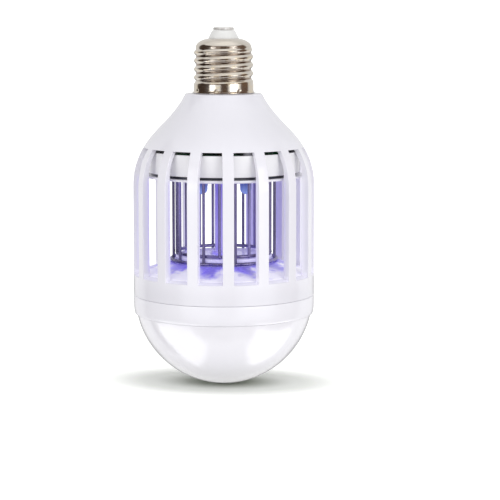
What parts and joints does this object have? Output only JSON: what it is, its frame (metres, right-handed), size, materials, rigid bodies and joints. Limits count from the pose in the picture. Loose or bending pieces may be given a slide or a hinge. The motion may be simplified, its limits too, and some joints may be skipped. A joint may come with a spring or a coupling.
{
  "type": "insect killer light bulb",
  "caption": "Screw-in lamp with a ribbed white cage round a basket of charged upright wires and violet lamps, over a milky light dome, that lures and kills flying insects.",
  "frame": {"origin": "centre of the flat top of the screw cap's contact", "axes": "+Z out of the screw cap along the lamp's axis, so the lamp hangs below the origin; -Y is the front, with a window of the cage centred on it"},
  "size_m": [0.08, 0.08, 0.1576],
  "materials": {
    "contact_metal": "nickel-plated, lightly scuffed",
    "insulator_white": "moulded, satin",
    "nickel_plate": "rolled nickel-plated sheet, glossy",
    "housing_white": "moulded white plastic, semi-gloss",
    "cup_grey": "moulded light grey plastic, satin",
    "grid_wire": "drawn steel wire, satin",
    "violet_lens": "clear blue-violet epoxy, lit",
    "board_green": "solder mask over glass-fibre board",
    "column_white": "moulded white plastic, semi-gloss",
    "capacitor_sleeve": "shrunk sleeve",
    "ferrite": "sintered ferrite",
    "winding_tape": "insulating tape over the winding",
    "capacitor_red": "dipped resin",
    "resistor_body": "flameproof coat",
    "chip_black": "moulded epoxy",
    "screw_zinc": "zinc-plated",
    "aluminium_plate": "stamped sheet",
    "lamp_board_white": "white solder mask over aluminium",
    "phosphor": "phosphor gel",
    "milky_dome": "opal plastic, glossy",
    "lead_red": "insulated wire",
    "lead_black": "insulated wire",
    "lead_white": "insulated wire"
  },
  "bodies": {
    "root": {"centre_contact": "contact_metal", "cap_insulator": "insulator_white", "screw_shell": "nickel_plate", "cage_housing": "housing_white", "upper_cup": "cup_grey", "grid_plate": "housing_white", "inner_electrode": "grid_wire", "outer_electrode": "grid_wire", "uv_lamp_1": "violet_lens", "uv_lamp_2": "violet_lens", "uv_lamp_3": "violet_lens", "uv_lamp_4": "violet_lens", "uv_lamp_board": "board_green", "centre_column": "column_white", "cage_floor": "housing_white", "driver_board": "board_green", "supply_capacitor": "capacitor_sleeve", "transformer_core": "ferrite", "transformer_coil": "winding_tape", "grid_capacitor_1": "capacitor_red", "grid_capacitor_2": "capacitor_red", "grid_capacitor_3": "capacitor_red", "fuse_resistor": "resistor_body", "bridge_rectifier": "chip_black", "driver_chip": "chip_black", "live_lead": "lead_red", "neutral_lead": "lead_black", "inner_grid_lead": "lead_white", "outer_grid_lead": "lead_white", "lamp_lead_positive": "lead_white", "lamp_lead_negative": "lead_white", "plate_screw_1": "screw_zinc", "plate_screw_2": "screw_zinc", "plate_screw_3": "screw_zinc", "board_screw_1": "screw_zinc", "board_screw_2": "screw_zinc", "board_screw_3": "screw_zinc", "spreader_screw_1": "screw_zinc", "spreader_screw_2": "screw_zinc", "spreader_screw_3": "screw_zinc", "heat_spreader": "aluminium_plate", "lamp_board": "lamp_board_white", "lamp_led_1": "phosphor", "lamp_led_2": "phosphor", "lamp_led_3": "phosphor", "lamp_led_4": "phosphor", "lamp_led_5": "phosphor", "lamp_led_6": "phosphor", "lamp_led_7": "phosphor", "lamp_led_8": "phosphor", "lamp_led_9": "phosphor", "lamp_led_10": "phosphor", "lamp_led_11": "phosphor", "lamp_led_12": "phosphor", "lamp_collar": "housing_white", "light_dome": "milky_dome"}
  },
  "joints": []
}
